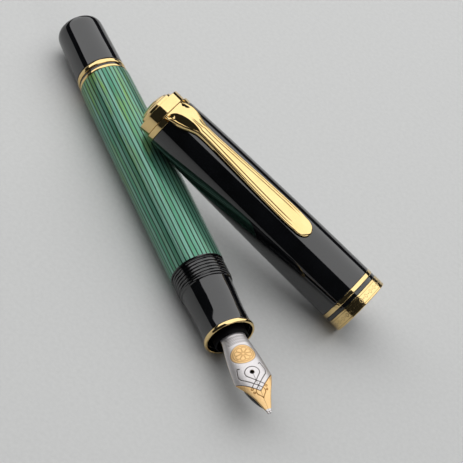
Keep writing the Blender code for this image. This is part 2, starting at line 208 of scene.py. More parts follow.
def turned(name, outline, place, mats, body, nodes, slot, **extra):
    """Turn a closed outline about the local X axis.

    extra: sides, relief (a function of x, angle and radius that gives a new radius),
    engraving (a function of the same three that gives the cut's share, and its depth),
    mat_of (a function of x and r that picks the material), and what add_piece takes.
    """
    sides = extra.pop("sides", SIDES)
    relief = extra.pop("relief", None)
    engraving, depth = extra.pop("engraving", (None, 0.0))
    mat_of = extra.pop("mat_of", None)
    # the outline must run so that faces look outwards: down its outer side
    area = 0.0
    for (x0, r0), (x1, r1) in zip(outline, outline[1:] + outline[:1]):
        area += x0 * r1 - x1 * r0
    if area > 0.0:
        outline = outline[::-1]
    angles = np.arange(sides) * math.tau / sides
    xs = np.array([p[0] for p in outline])
    rs = np.array([max(p[1], 0.0) for p in outline])
    grid_x = np.repeat(xs[:, None], sides, 1)
    grid_r = np.repeat(rs[:, None], sides, 1)
    if relief is not None:
        grid_r = relief(grid_x, angles[None, :], grid_r)
    if engraving is not None:
        cut_in = engraving(grid_x, angles[None, :], grid_r)
        grid_r = grid_r - depth * cut_in
        extra["attributes"] = {"engraved": cut_in.ravel()}
    trimmed = np.maximum(grid_r - TRIM, 0.0)
    ys = trimmed * np.cos(angles)[None, :]
    zs = trimmed * np.sin(angles)[None, :]
    points = np.stack([grid_x, ys, zs], axis=2).reshape(-1, 3)
    faces = []
    uvs = []
    face_mats = []
    rows = len(outline)
    on_axis = rs <= 0.0
    for i in range(rows):
        i2 = (i + 1) % rows
        if on_axis[i] and on_axis[i2]:
            continue
        chosen = mat_of((xs[i] + xs[i2]) / 2.0, (rs[i] + rs[i2]) / 2.0) if mat_of else 0
        for j in range(sides):
            j2 = (j + 1) % sides
            quad = [i * sides + j, i2 * sides + j, i2 * sides + j2, i * sides + j2]
            places = [(j, xs[i]), (j, xs[i2]), (j + 1, xs[i2]), (j + 1, xs[i])]
            if on_axis[i]:
                quad[0] = i * sides
                quad.pop(3)
                places.pop(3)
            elif on_axis[i2]:
                quad[1] = i2 * sides
                quad.pop(2)
                places.pop(2)
            faces.append(quad)
            face_mats.append(chosen)
            uvs += [(k / sides, x * 0.1) for k, x in places]
    extra["uvs"] = uvs
    extra["face_mats"] = face_mats
    add_piece(name, points, faces, place, mats, body, nodes, slot, **extra)


# ---- materials

RESIN_IOR = 1.75            # a little denser than real resin, for reflections that read well
RESIN_BLACK = (0.0016, 0.0018, 0.0024)
CUT_AND_CREASE_SHADE_BROWN = (0.16, 0.08, 0.02)      # inside engraved lines on gold, and painted shade in the clip's creases
GOLD = (0.84, 0.63, 0.30)
GOLD_DEEP = (0.76, 0.53, 0.22)
RHODIUM = (0.74, 0.715, 0.715)
STRIPE_COUNT = 40


class Nodes:
    """A material's node tree with short ways to add and link nodes."""

    def __init__(self, name):
        self.mat = bpy.data.materials.new(name)
        self.mat.use_nodes = True
        self.tree = self.mat.node_tree
        self.shader = self.tree.nodes["Principled BSDF"]

    def add(self, kind, **settings):
        node = self.tree.nodes.new(kind)
        for key, value in settings.items():
            setattr(node, key, value)
        return node

    def wire(self, source, target):
        if isinstance(source, (int, float)):
            target.default_value = source
        elif isinstance(source, tuple):
            target.default_value = (*source, 1.0)
        else:
            self.tree.links.new(source, target)

    def math(self, operation, first, second=0.0, third=0.0):
        node = self.add("ShaderNodeMath", operation=operation)
        self.wire(first, node.inputs[0])
        self.wire(second, node.inputs[1])
        self.wire(third, node.inputs[2])
        return node.outputs[0]

    def mix(self, share, first, second):
        node = self.add("ShaderNodeMix", data_type="RGBA")
        self.wire(share, node.inputs[0])
        self.wire(first, node.inputs[6])
        self.wire(second, node.inputs[7])
        return node.outputs[2]

    def scale(self, value, low, high, new_low=0.0, new_high=1.0):
        node = self.add("ShaderNodeMapRange", clamp=True)
        self.wire(value, node.inputs[0])
        for socket, number in zip(node.inputs[1:5], (low, high, new_low, new_high)):
            socket.default_value = number
        return node.outputs[0]

    def place(self, stretch=(1.0, 1.0, 1.0)):
        coordinates = self.add("ShaderNodeTexCoord")
        mapping = self.add("ShaderNodeMapping")
        mapping.inputs["Scale"].default_value = stretch
        self.wire(coordinates.outputs["Object"], mapping.inputs["Vector"])
        return mapping.outputs[0]

    def noise(self, size_mm, detail=4.0, roughness=0.55, vector=None):
        """Noise whose features are about size_mm across, on world lengths."""
        node = self.add("ShaderNodeTexNoise")
        node.inputs["Scale"].default_value = 1000.0 / size_mm
        node.inputs["Detail"].default_value = detail
        node.inputs["Roughness"].default_value = roughness
        self.wire(vector or self.place(), node.inputs["Vector"])
        return node.outputs["Fac"]

    def map_noise(self, around, along, detail):
        """Noise whose place is given by two values from the texture map."""
        place = self.add("ShaderNodeCombineXYZ")
        self.wire(around, place.inputs[0])
        self.wire(along, place.inputs[1])
        return self.noise(1.0 / MM, detail, 0.5, place.outputs[0])

    def attribute(self, name):
        node = self.add("ShaderNodeAttribute", attribute_name=name)
        return node.outputs["Fac"]

    def bump(self, height, distance_mm, strength):
        node = self.add("ShaderNodeBump")
        node.inputs["Strength"].default_value = strength
        node.inputs["Distance"].default_value = distance_mm * MM
        self.wire(height, node.inputs["Height"])
        return node.outputs["Normal"]

    def finish(self, colour, roughness, metallic, normal, coat=0.0):
        self.wire(colour, self.shader.inputs["Base Color"])
        self.wire(roughness, self.shader.inputs["Roughness"])
        self.wire(metallic, self.shader.inputs["Metallic"])
        self.wire(normal, self.shader.inputs["Normal"])
        self.shader.inputs["Coat Weight"].default_value = coat
        self.shader.inputs["Coat Roughness"].default_value = 0.03
        return self.mat

    def edges(self):
        """1 on convex edges and 0 on flat faces."""
        geometry = self.add("ShaderNodeNewGeometry")
        return self.scale(geometry.outputs["Pointiness"], 0.52, 0.6)


def resin_material(name, colour, gloss):
    """Polished black resin: deep gloss, with haze, fine wipe marks and worn edges."""
    n = Nodes(name)
    haze = n.noise(6.0, 3.0)
    grain = n.noise(0.35, 5.0, 0.7)
    wipes = n.noise(1.2, 6.0, 0.8, n.place((1.0, 5.0, 5.0)))
    lighter = tuple(c * 2.2 + 0.0006 for c in colour)
    tone = n.mix(n.scale(haze, 0.35, 0.7), colour, lighter)
    rough = n.math("MULTIPLY_ADD", n.scale(wipes, 0.45, 0.8), 0.05, gloss)
    rough = n.math("MULTIPLY_ADD", n.edges(), 0.12, rough)
    normal = n.bump(grain, 0.004, 0.2)
    n.shader.inputs["IOR"].default_value = RESIN_IOR
    return n.finish(tone, rough, 0.0, normal)


def plastic_material(name, colour, rough_low, rough_high, specular=0.5, grain_mm=0.25):
    """Moulded plastic or rubber with a fine grain."""
    n = Nodes(name)
    grain = n.noise(grain_mm, 5.0, 0.65)
    cloud = n.noise(3.0, 3.0)
    lighter = tuple(c * 1.7 + 0.002 for c in colour)
    tone = n.mix(n.scale(cloud, 0.35, 0.7), colour, lighter)
    rough = n.scale(grain, 0.3, 0.7, rough_low, rough_high)
    n.shader.inputs["Specular IOR Level"].default_value = specular
    return n.finish(tone, rough, 0.0, n.bump(grain, 0.02, 0.5))


def metal_material(name, colour, deep, gloss, scratch=0.05, engraved=False):
    """Plated metal: tone drifts a little, faint scratches, edges rubbed brighter.

    An engraved one is dark and dull where its points carry the value "engraved": cut lines on the
    lip band, and painted shade in the clip's creases.
    """
    n = Nodes(name)
    drift = n.noise(4.0, 3.0)
    scratches = n.noise(0.5, 6.0, 0.8)
    fine = n.noise(0.12, 3.0)
    tone = n.mix(n.scale(drift, 0.35, 0.72, 0.0, 0.55), colour, deep)
    worn = tuple(min(1.0, c * 1.08 + 0.02) for c in colour)
    tone = n.mix(n.math("MULTIPLY", n.edges(), 0.6), tone, worn)
    rough = n.math("MULTIPLY_ADD", n.scale(scratches, 0.5, 0.85), scratch, gloss)
    rough = n.math("MULTIPLY_ADD", n.edges(), 0.05, rough)
    if engraved:
        cut_in = n.attribute("engraved")
        # dark brown in cut lines, and as painted shade in the clip's creases
        tone = n.mix(n.math("MULTIPLY", cut_in, 0.85), tone, CUT_AND_CREASE_SHADE_BROWN)
        rough = n.math("MULTIPLY_ADD", cut_in, 0.25, rough)
    return n.finish(tone, rough, 1.0, n.bump(fine, 0.002, 0.2))


def stripe_material(name):
    """Striped sleeve: pearly green bands with clear dark lines between them."""
    n = Nodes(name)
    uv = n.add("ShaderNodeTexCoord").outputs["UV"]
    split = n.add("ShaderNodeSeparateXYZ")
    n.wire(uv, split.inputs[0])
    wander = n.noise(3.0, 2.0, 0.5, n.place((0.35, 0.35, 0.35)))
    around = n.math("MULTIPLY_ADD", n.math("SUBTRACT", wander, 0.5), 0.0035, split.outputs[0])
    turns = n.math("MULTIPLY", around, float(STRIPE_COUNT))
    part_of = n.math("FRACT", turns)
    number = n.math("FLOOR", turns)
    from_middle = n.math("ABSOLUTE", n.math("SUBTRACT", part_of, 0.5))
    line = n.scale(from_middle, 0.335, 0.375)
    # each band has its own tone, and streaks run along it
    white = n.add("ShaderNodeTexWhiteNoise", noise_dimensions="1D")
    n.wire(number, white.inputs["W"])
    turn, length = split.outputs[:2]
    streak = n.map_noise(n.math("MULTIPLY", turn, 160.0), n.math("MULTIPLY", length, 0.9), 5.0)
    patch = n.map_noise(n.math("MULTIPLY", turn, 22.0), n.math("MULTIPLY", length, 0.7), 3.0)
    band = n.mix(white.outputs["Value"], (0.085, 0.30, 0.19), (0.20, 0.41, 0.33))
    band = n.mix(n.scale(streak, 0.45, 0.75, 0.0, 0.75), band, (0.035, 0.19, 0.09))
    patchy = n.scale(patch, 0.45, 0.6)
    yellow = n.math("MULTIPLY", patchy, n.scale(streak, 0.44, 0.56, 0.0, 0.85))
    # the yellow streaks thin out from the knob's half towards the nib
    yellow = n.math("MULTIPLY", yellow, n.scale(length, 3.0, 6.5, 1.0, 0.12))
    band = n.mix(yellow, band, (0.20, 0.36, 0.06))
    tone = n.mix(line, band, (0.001, 0.020, 0.009))
    rough = n.math("MULTIPLY_ADD", streak, 0.12, 0.3)
    metal = n.math("MULTIPLY", n.math("SUBTRACT", 1.0, line), 0.6)
    n.shader.inputs["Specular IOR Level"].default_value = 0.2
    grain = n.noise(0.3, 4.0)
    return n.finish(tone, rough, metal, n.bump(grain, 0.004, 0.2), 0.3)


def nib_material(name):
    """Two-tone nib: plated field, gold tines and engraved lines, from the point values."""
    n = Nodes(name)
    plated = n.attribute("plated")
    cut_in = n.attribute("engraved")
    brushed = n.noise(0.25, 5.0, 0.7)
    silver = n.mix(n.scale(brushed, 0.3, 0.75), RHODIUM, (0.62, 0.585, 0.59))
    gold = n.mix(n.scale(brushed, 0.3, 0.75), (0.86, 0.60, 0.30), (0.80, 0.50, 0.21))
    tone = n.mix(plated, gold, silver)
    inked = n.mix(plated, (0.36, 0.17, 0.04), (0.045, 0.035, 0.03))
    tone = n.mix(n.math("MULTIPLY", cut_in, 0.92), tone, inked)
    rough = n.math("MULTIPLY_ADD", brushed, 0.2, 0.26)
    rough = n.math("MULTIPLY_ADD", cut_in, 0.25, rough)
    rough = n.math("MULTIPLY_ADD", n.edges(), 0.05, rough)
    return n.finish(tone, rough, 0.75, n.bump(brushed, 0.004, 0.3))


def clear_green_material(name):
    """Clear green tube that the ink is held in."""
    n = Nodes(name)
    cloud = n.noise(5.0, 3.0)
    tone = n.mix(n.scale(cloud, 0.35, 0.7), (0.02, 0.16, 0.08), (0.04, 0.24, 0.12))
    grain = n.noise(0.4, 4.0)
    rough = n.scale(grain, 0.3, 0.7, 0.06, 0.14)
    return n.finish(tone, rough, 0.0, n.bump(grain, 0.004, 0.2), 1.0)


BLACK_RESIN = resin_material("black_resin_look", RESIN_BLACK, 0.03)
GRIP_RESIN = resin_material("grip_resin_look", RESIN_BLACK, 0.045)
DARK_PLASTIC = plastic_material("dark_plastic_look", (0.002, 0.002, 0.0024), 0.4, 0.6, 0.06)
FEED_PLASTIC = plastic_material("feed_plastic_look", (0.004, 0.004, 0.005), 0.18, 0.34, 0.3)
SEAL_PLASTIC = plastic_material("seal_plastic_look", (0.52, 0.52, 0.48), 0.35, 0.55)
RUBBER = plastic_material("gasket_rubber_look", (0.02, 0.02, 0.02), 0.6, 0.8)
TRIM_GOLD = metal_material("trim_gold_look", GOLD, GOLD_DEEP, 0.06)
# the clip's gold is painted dark brown in its creases, as shade
CLIP_GOLD_CREASE_SHADE = metal_material("clip_gold_crease_shade_look", GOLD, GOLD_DEEP, 0.07, engraved=True)
BRASS = metal_material("inner_brass_look", (0.72, 0.53, 0.24), (0.55, 0.38, 0.15), 0.24)
TIPPING = metal_material("tipping_look", RHODIUM, (0.6, 0.58, 0.57), 0.2)
STRIPES = stripe_material("stripe_look")
NIB_LOOK = nib_material("nib_look")
BAND_LOOK = metal_material("engraved_band_look", GOLD, GOLD_DEEP, 0.08, 0.14, engraved=True)
CLEAR_GREEN = clear_green_material("clear_green_look")


# ---- pen, turned parts

KNOB_TABLE = [
    (0.0, 0.0), (0.04, 1.6), (0.16, 3.1), (0.42, 4.4), (0.72, 5.02), (1.15, 5.46),
    (1.8, 5.75), (2.6, 5.88), (4.0, 5.94),
]
KNOB_SIDE = [(4.0, 5.94), (8.0, 6.03), (12.0, 6.14), (16.4, 6.19)]


def make_knob():
    dome = bend(KNOB_TABLE, 3)[:-1]
    side = profile(KNOB_SIDE, 4.0, 16.2, 0.8)
    end = fillet([(16.2, 6.19, 0.0), (16.4, 6.19, 0.12), (16.4, 4.6, 0.0)], 4, False)
    inside = [(11.9, 4.6), (11.9, 2.15), (4.0, 2.15), (4.0, 0.0)]
    turned(
        "knob_piece", dome + side + end[1:] + inside, PEN, [BLACK_RESIN], "knob",
        ["piston_knob"], "black_resin",
    )


def ring_outline(x0, x1, inner, outer, edge, crown=0.0):
    """Ring with rounded outer edges and, if crowned, a swelling outer face."""
    middle = (x0 + x1) / 2.0
    corners = [(x0, inner, 0.0), (x0, outer - crown, edge)]
    if crown > 0.0:
        quarter = (x1 - x0) * 0.25
        corners += [(middle - quarter, outer - crown * 0.2, quarter)]
        corners += [(middle + quarter, outer - crown * 0.2, quarter)]
    corners += [(x1, outer - crown, edge), (x1, inner, 0.0)]
    return fillet(corners)


# node, outline, place, material, body, slot
PEN_RINGS = [
    ("knob_ring", ring_outline(16.5, 17.75, 4.6, 6.3, 0.25, 0.16), PEN, TRIM_GOLD,
     "knob_carrier", "gold_trim"),
    ("spacer_ring", ring_outline(17.85, 18.45, 4.6, 6.02, 0.06), PEN, GRIP_RESIN,
     "pen_body", "black_resin"),
    ("barrel_ring", ring_outline(18.55, 19.3, 4.6, 6.36, 0.2, 0.12), PEN, TRIM_GOLD,
     "pen_body", "gold_trim"),
    ("section_ring", fillet([
        (98.0, 5.45, 0.0), (98.0, 6.12, 0.12), (98.5, 6.24, 0.35), (99.05, 6.08, 0.28),
        (99.05, 5.62, 0.16),
    ]), PEN, TRIM_GOLD, "pen_body", "gold_trim"),
]
CAP_RINGS = [
    ("clip_ring", ring_outline(2.05, 4.8, 2.7, 6.2, 0.16), CAP, TRIM_GOLD, "cap", "gold_trim"),
    ("thin_band", ring_outline(64.1, 65.2, 7.3, 7.775, 0.14, 0.03), CAP, TRIM_GOLD, "cap",
     "gold_trim"),
]


def make_rings(rings):
    for node, outline, place, mat, body, slot in rings:
        turned(node + "_piece", outline, place, [mat], body, [node], slot)


BARREL_TABLE = [
    (19.4, 6.34), (19.9, 6.42), (24.0, 6.52), (32.0, 6.62), (41.0, 6.69), (50.0, 6.735),
    (79.4, 6.735),
]


def make_barrel():
    outer = [(19.4, 6.28)] + profile(BARREL_TABLE, 19.5, 79.3, 1.4)
    front = fillet([(79.3, 6.735, 0.0), (79.55, 6.72, 0.1), (79.8, 6.58, 0.08),
                    (79.8, 5.75, 0.0)], 3, False)
    outline = outer + front[1:] + [(19.4, 5.75)]

    def bevel_is_dark(x, r):
        return 1 if x > 79.5 and r > 5.8 else 0

    turned(
        "barrel_piece", outline, PEN, [STRIPES, BLACK_RESIN], "pen_body", ["barrel_sleeve"],
        "striped_resin", mat_of=bevel_is_dark,
    )


THREAD_START = 79.95
THREAD_END = 84.75
THREAD_PITCH = 0.85
THREAD_CREST = 6.6
THREAD_ROOT = 6.28
GRIP_TABLE = [
    (85.3, 6.2), (86.5, 6.14), (88.3, 6.06), (91.0, 5.9), (94.0, 5.80), (96.5, 5.86),
    (98.1, 6.0),
]


def screw_relief(x, angle, radius):
    """Radius of a rounded one-start thread that fades in and out at its ends."""
    turn = (x - THREAD_START) / THREAD_PITCH - angle / math.tau
    wave = 0.5 + 0.5 * np.cos(math.tau * turn)
    crest = smoothstep(0.12, 0.8, wave)
    fade = smoothstep(THREAD_START, THREAD_START + 0.3, x)
    fade *= 1.0 - smoothstep(THREAD_END - 0.35, THREAD_END, x)
    lift = (THREAD_CREST - THREAD_ROOT) * crest * fade
    on_thread = (x > THREAD_START) & (x < THREAD_END) & (radius > THREAD_ROOT - 0.01)
    return np.where(on_thread, radius + lift, radius)


def make_grip():
    outline = [(75.9, 3.6), (75.9, 5.45), (79.9, 5.45), (79.9, 6.45), (THREAD_START, 6.45)]
    rows = int((THREAD_END - THREAD_START) / 0.07)
    outline.append((THREAD_START + 0.02, THREAD_ROOT))
    for step in range(1, rows):
        outline.append((THREAD_START + (THREAD_END - THREAD_START) * step / rows, THREAD_ROOT))
    outline += fillet([
        (THREAD_END, THREAD_ROOT, 0.0), (THREAD_END + 0.05, 6.5, 0.05), (85.12, 6.5, 0.12),
        (85.3, 6.2, 0.08), (85.6, 6.19, 0.0),
    ], 4, False)
    outline += profile(GRIP_TABLE, 85.9, 97.6, 0.6)
    outline += fillet([
        (97.85, 6.0, 0.0), (97.92, 5.99, 0.03), (97.92, 5.4, 0.1), (96.2, 5.1, 0.8),
        (95.2, 4.9, 0.5), (95.2, 4.45, 0.0),
    ], 5, False)
    outline += [(86.6, 4.45), (86.6, 3.6)]
    turned(
        "grip_piece", outline, PEN, [GRIP_RESIN], "pen_body", ["grip_section"],
        "black_resin", relief=screw_relief, sides=180,
    )


def make_nib_collar():
    outline = fillet([
        (87.0, 3.75, 0.0), (87.0, 4.13, 0.1), (100.3, 4.13, 0.2), (100.3, 3.75, 0.1),
    ])
    turned(
        "nib_collar_piece", outline, PEN, [DARK_PLASTIC], "nib_carrier", ["nib_collar"],
        "black_plastic",
    )


# ---- nib

# x, half width, height of the crest over the pen's axis, drop from the crest to the edges
NIB_TABLE = [
    (89.0, 3.05, 3.45, 1.83), (95.0, 3.05, 3.45, 1.83), (100.7, 3.07, 3.45, 1.83),
    (103.7, 3.55, 3.45, 1.86), (105.6, 3.84, 3.45, 1.9), (107.6, 4.1, 3.45, 1.95),
    (110.2, 4.34, 3.45, 2.02), (111.8, 4.46, 3.43, 2.02), (112.4, 4.36, 3.42, 1.86),
    (113.4, 3.95, 3.37, 1.42), (115.4, 2.98, 3.14, 0.66), (117.5, 1.95, 2.74, 0.28),
    (119.3, 1.22, 2.28, 0.13), (120.9, 0.6, 1.86, 0.05),
]
NIB_THICK = 0.33
NIB_BACK = 89.0
NIB_TIP = 120.9
HOLE_X = 111.05
HOLE_R = 0.56
SLIT_HALF = 0.05
MEDAL = (105.95, 2.42, 2.92)   # centre x, half length, half width
V_TIP = 116.1                  # where the plated field ends on the middle line
V_EDGE = (112.3, 4.25)         # where it ends at the side
CUT_DEPTH = 0.035              # depth of the engraving
EDGE_ROUND = 0.07              # how far the edges are rounded down
ROW_START = 101.0              # first of the three rows of strokes at the base
ROW_PITCH = 0.72
STROKE_PITCH = 0.44


def nib_arc(x):
    """Radius and centre height of the nib's curve at x."""
    half = spline(x, NIB_TABLE, 1)
    crest = spline(x, NIB_TABLE, 2)
    drop = spline(x, NIB_TABLE, 3)
    radius = (half ** 2 + drop ** 2) / (2.0 * drop)
    return half, radius, crest - radius


def distance_to_lines(x, y, lines):
    """Distance from every point to the nearest of several polylines."""
    nearest = np.full(x.shape, 99.0)
    for line in lines:
        for (x0, y0), (x1, y1) in zip(line, line[1:]):
            dx = x1 - x0
            dy = y1 - y0
            share = ((x - x0) * dx + (y - y0) * dy) / (dx * dx + dy * dy)
            share = np.clip(share, 0.0, 1.0)
            nearest = np.minimum(nearest, np.hypot(x - x0 - share * dx, y - y0 - share * dy))
    return nearest


def bend(points, steps=10):
    """Smooth line through control points (a uniform spline)."""
    pts = [Vector(p) for p in points]
    pts = [pts[0] * 2 - pts[1]] + pts + [pts[-1] * 2 - pts[-2]]
    line = []
    for a, b, c, d in zip(pts, pts[1:], pts[2:], pts[3:]):
        for step in range(steps):
            t = step / steps
            p = 0.5 * (2 * b + (c - a) * t + (2 * a - 5 * b + 4 * c - d) * t * t
                       + (3 * b - a - 3 * c + d) * t ** 3)
            line.append((p.x, p.y))
    line.append((pts[-2].x, pts[-2].y))
    return line


def ellipse(x, y, half_x, half_y, start=0.0, end=math.tau, steps=48):
    line = []
    for step in range(steps + 1):
        angle = start + (end - start) * step / steps
        line.append((x + half_x * math.cos(angle), y + half_y * math.sin(angle)))
    return line


def curl(x, y, radius, start, turns, steps=24):
    """Small spiral that winds in towards x, y."""
    line = []
    for step in range(steps + 1):
        share = step / steps
        angle = start + math.tau * turns * share
        r = radius * (1.0 - 0.75 * share)
        line.append((x + r * math.cos(angle), y + r * math.sin(angle)))
    return line


def both_sides(lines):
    return lines + [[(x, -y) for x, y in line] for line in lines]


def nib_lines():
    """Engraved lines on one half of the nib, seen from above, mirrored to both halves."""
    drop_line = ellipse(HOLE_X, 0.0, 1.42, 1.72, math.pi, 0.32 * math.pi, 30)
    drop_line += [(113.35, 0.0), (114.62, -1.5)]
    inner = bend([(109.25, 2.35), (109.05, 2.75), (109.6, 3.0), (111.0, 3.28), (112.0, 2.95)])
    inner += [(114.7, 0.0), (115.45, -0.83)]
    outer = [V_EDGE, (V_TIP, 0.0)]
    onion = bend([(115.45, 0.83), (116.0, 1.06), (116.6, 0.95), (117.2, 0.42), (117.8, 0.0)])
    twirl = curl(115.05, 1.72, 0.42, math.radians(200.0), 1.1)
    hook = curl(116.05, 1.45, 0.3, math.radians(150.0), -0.9)
    return both_sides([drop_line, inner, outer, onion, twirl, hook])


def medal_lines():
    """Plain rings and a simple rosette inside the round field."""
    x, half_x, half_y = MEDAL
    lines = [ellipse(x, 0.0, half_x, half_y), ellipse(x, 0.0, half_x * 0.82, half_y * 0.82)]
    petals = 8
    for k in range(petals):
        angle = math.tau * (k + 0.5) / petals
        out = (math.cos(angle), math.sin(angle))
        side = (-out[1], out[0])
        loop = []
        for step in range(17):
            share = step / 16.0
            reach = 0.12 + 0.58 * math.sin(math.pi * share) ** 0.8
            spread = 0.2 * math.sin(math.tau * share)
            loop.append((
                x + half_x * (reach * out[0] + spread * side[0]),
                half_y * (reach * out[1] + spread * side[1]),
            ))
        lines.append(loop)
    return lines


def base_lines():
    """Small slanted strokes in three rows near the nib's base."""
    lines = []
    for row in range(3):
        x = ROW_START + row * ROW_PITCH
        for k in range(-5, 6):
            y = k * STROKE_PITCH + (row % 2) * STROKE_PITCH / 2.0
            lines.append([(x, y), (x + 0.4, y + 0.18)])
    return lines


def cut_depth(distance, half_width):
    return 1.0 - smoothstep(half_width * 0.55, half_width * 1.25, distance)


def make_nib():
    """Each half is a grid between the side edge and the slit, bent round the hole."""
    base = np.arange(NIB_BACK, 100.0, 0.5)
    fine = np.arange(100.0, NIB_TIP, 0.07)
    around = HOLE_X - HOLE_R * np.cos(np.linspace(0.0, math.pi, 25))
    xs = np.concatenate([base, fine, around, [NIB_TIP]])
    xs = np.unique(np.round(xs, 4))
    rows = len(xs)
    columns = 64
    half, radius, centre = nib_arc(xs)
    in_hole = np.sqrt(np.maximum(HOLE_R ** 2 - (xs - HOLE_X) ** 2, 0.0))
    slit = SLIT_HALF * (1.0 - 0.5 * smoothstep(HOLE_X, NIB_TIP, xs))
    inner = np.where(xs > HOLE_X, np.maximum(in_hole, slit), in_hole)
    share = np.linspace(0.0, 1.0, columns)
    reach = np.arcsin(np.clip(half / radius, -1.0, 1.0))
    inner_angle = np.arcsin(inner / radius)
    angle = inner_angle[:, None] + (reach - inner_angle)[:, None] * share[None, :]
    grid_x = np.repeat(xs[:, None], columns, 1)
    grid_y = radius[:, None] * np.sin(angle)
    drop_away = smoothstep(0.0, 0.18, half[:, None] - grid_y)
    lines = nib_lines()
    right = nib_points(grid_x, grid_y, angle, radius, centre, lines, drop_away)
    left = nib_points(grid_x, -grid_y, -angle, radius, centre, lines, drop_away)
    points = []
    plated = []
    engraved = []
    faces = []
    size = rows * columns
    for top, under, plate, cut_in in (right, left):
        offset = len(points)
        points += top.reshape(-1, 3).tolist() + under.reshape(-1, 3).tolist()
        plated += plate.ravel().tolist() + [0.0] * size
        engraved += cut_in.ravel().tolist() + [0.0] * size
        outer_edge = columns - 1
        rims = [(i * columns + outer_edge, (i + 1) * columns + outer_edge)
                for i in range(rows - 1)]
        # the halves are one sheet where there is neither hole nor slit between them
        open_rows = [i for i in range(rows - 1) if inner[i] > 0.0 or inner[i + 1] > 0.0]
        rims += [(i * columns, (i + 1) * columns) for i in open_rows]
        for i in (0, rows - 1):
            rims += [(i * columns + j, i * columns + j + 1) for j in range(columns - 1)]
        for face in grid_faces(rows, columns, False):
            faces.append([offset + k for k in face])
            faces.append([offset + size + k for k in reversed(face)])
        for a, b in rims:
            faces.append([offset + a, offset + b, offset + size + b, offset + size + a])
    add_piece(
        "nib_piece", points, faces, NIB, [NIB_LOOK], "nib_unit", ["nib"], "nib_gold",
        attributes={"plated": plated, "engraved": engraved}, sharp=40.0, welded=True,
    )


def nib_points(x, y, angle, radius, centre, lines, drop_away):
    """Upper and lower points of one half, with the plated and engraved shares."""
    distance = distance_to_lines(x, y, lines)
    medal_x, medal_half_x, medal_half_y = MEDAL
    ratio = np.hypot((x - medal_x) / medal_half_x, y / medal_half_y)
    medal_cut = cut_depth(distance_to_lines(x, y, medal_lines()), 0.1)
    base_cut = cut_depth(distance_to_lines(x, y, base_lines()), 0.12) * 0.7
    engraved = np.maximum(cut_depth(distance, 0.11), np.maximum(medal_cut * 0.6, base_cut))
    boundary = V_EDGE[0] + (V_TIP - V_EDGE[0]) * (1.0 - np.abs(y) / V_EDGE[1])
    plated = 1.0 - smoothstep(-0.03, 0.03, x - boundary)
    plated *= smoothstep(0.99, 1.01, ratio)
    plated *= smoothstep(0.02, 0.1, drop_away)
    plated = np.maximum(plated, smoothstep(120.35, 120.45, x))
    depth = CUT_DEPTH * engraved
    rounded = EDGE_ROUND * (1.0 - drop_away)
    top_radius = radius[:, None] - depth - rounded
    under_radius = radius[:, None] - NIB_THICK
    layers = []
    for r in (top_radius, under_radius):
        y_z = (r * np.sin(angle), centre[:, None] + r * np.cos(angle))
        layers.append(np.stack([x, *y_z], axis=2))
    return (*layers, plated, engraved)


# length, width of one half, half height, half width of the slit, height over the pen's axis
TIPPING_SIZE = (0.46, 0.47, 0.34, 0.02, 1.62)


def make_nib_tipping():
    """Two halves of the hard point, flush with the tines and split by the slit."""
    points = []
    faces = []
    rows = 14
    columns = 16
    length, half_width, half_height, slit_half, height = TIPPING_SIZE
    centre_x = NIB_TIP + 0.1 + length / 2.0
    for side in (-1.0, 1.0):
        offset = len(points)
        for i in range(rows):
            share = i / (rows - 1.0)
            x = centre_x - math.cos(math.pi * share) * length / 2.0
            size = math.sin(math.pi * share) ** 0.25
            for j in range(columns):
                turn = math.tau * j / columns
                bulge = math.copysign(abs(math.cos(turn)) ** 0.6, math.cos(turn))
                y = slit_half + half_width * size * (1.0 + bulge) / 2.0
                z = math.copysign(abs(math.sin(turn)) ** 0.75, math.sin(turn))
                points.append((x, side * y, height + half_height * size * z))
        faces += shifted(grid_faces(rows, columns), offset)
    add_piece(
        "nib_tipping_piece", points, faces, NIB, [TIPPING], "nib_unit", ["nib_tipping"],
        "tipping_metal", sharp=60.0, welded=True,
    )


# x, radius of the feed's round underside, gap under the nib
FEED_TABLE = [
    (88.0, 2.7, 0.35), (100.0, 2.7, 0.3), (110.0, 2.68, 0.2), (113.0, 2.6, 0.12),
    (115.0, 2.3, 0.1), (117.0, 1.75, 0.08), (118.5, 1.15, 0.08), (119.4, 0.62, 0.08),
]
FIN_FIRST = 101.2
FIN_PITCH = 1.0
FIN_COUNT = 11
FEED_RISE = 0.91               # how far the feed's front end bends up to the nib


def make_feed():
    """Ink feed: its top follows the nib's underside, its underside is a comb of fins."""
    xs = [88.0, 89.0, 92.0, 96.0, 100.0, 101.0]
    cuts = {}
    for fin in range(FIN_COUNT):
        x = FIN_FIRST + fin * FIN_PITCH
        for place, depth in ((0.0, 0.0), (0.03, 0.75), (0.42, 0.75), (0.45, 0.0)):
            xs.append(x + place)
            cuts[round(x + place, 4)] = depth
    xs += np.linspace(112.4, 119.4, 36).tolist()
    xs = np.array(xs)
    columns = 48
    size = spline(xs, FEED_TABLE, 1)
    gap = spline(xs, FEED_TABLE, 2)
    _, radius, centre = nib_arc(xs)
    points = []
    for i, x in enumerate(xs):
        cut_in = cuts.get(round(float(x), 4), 0.0)
        roof_radius = radius[i] - NIB_THICK - gap[i]
        for j in range(columns):
            turn = math.tau * j / columns
            y = size[i] * math.sin(turn)
            z = size[i] * math.cos(turn) + FEED_RISE * smoothstep(112.0, 119.4, float(x))
            roof = centre[i] + math.sqrt(max(roof_radius ** 2 - y ** 2, 0.01))
            z = min(z, roof)
            below = smoothstep(-0.2, 0.35, 0.25 - math.cos(turn))
            share = 1.0 - cut_in / size[i] * below
            points.append((float(x), y * share, z * share if z < 0.0 else z))
    faces = grid_faces(len(xs), columns)
    faces.append(list(range(columns))[::-1])
    last = (len(xs) - 1) * columns
    faces.append([last + j for j in range(columns)])
    add_piece(
        "feed_piece", points, faces, NIB, [FEED_PLASTIC], "nib_unit", ["feed"],
        "black_plastic", sharp=35.0, welded=True,
    )


# ---- cap

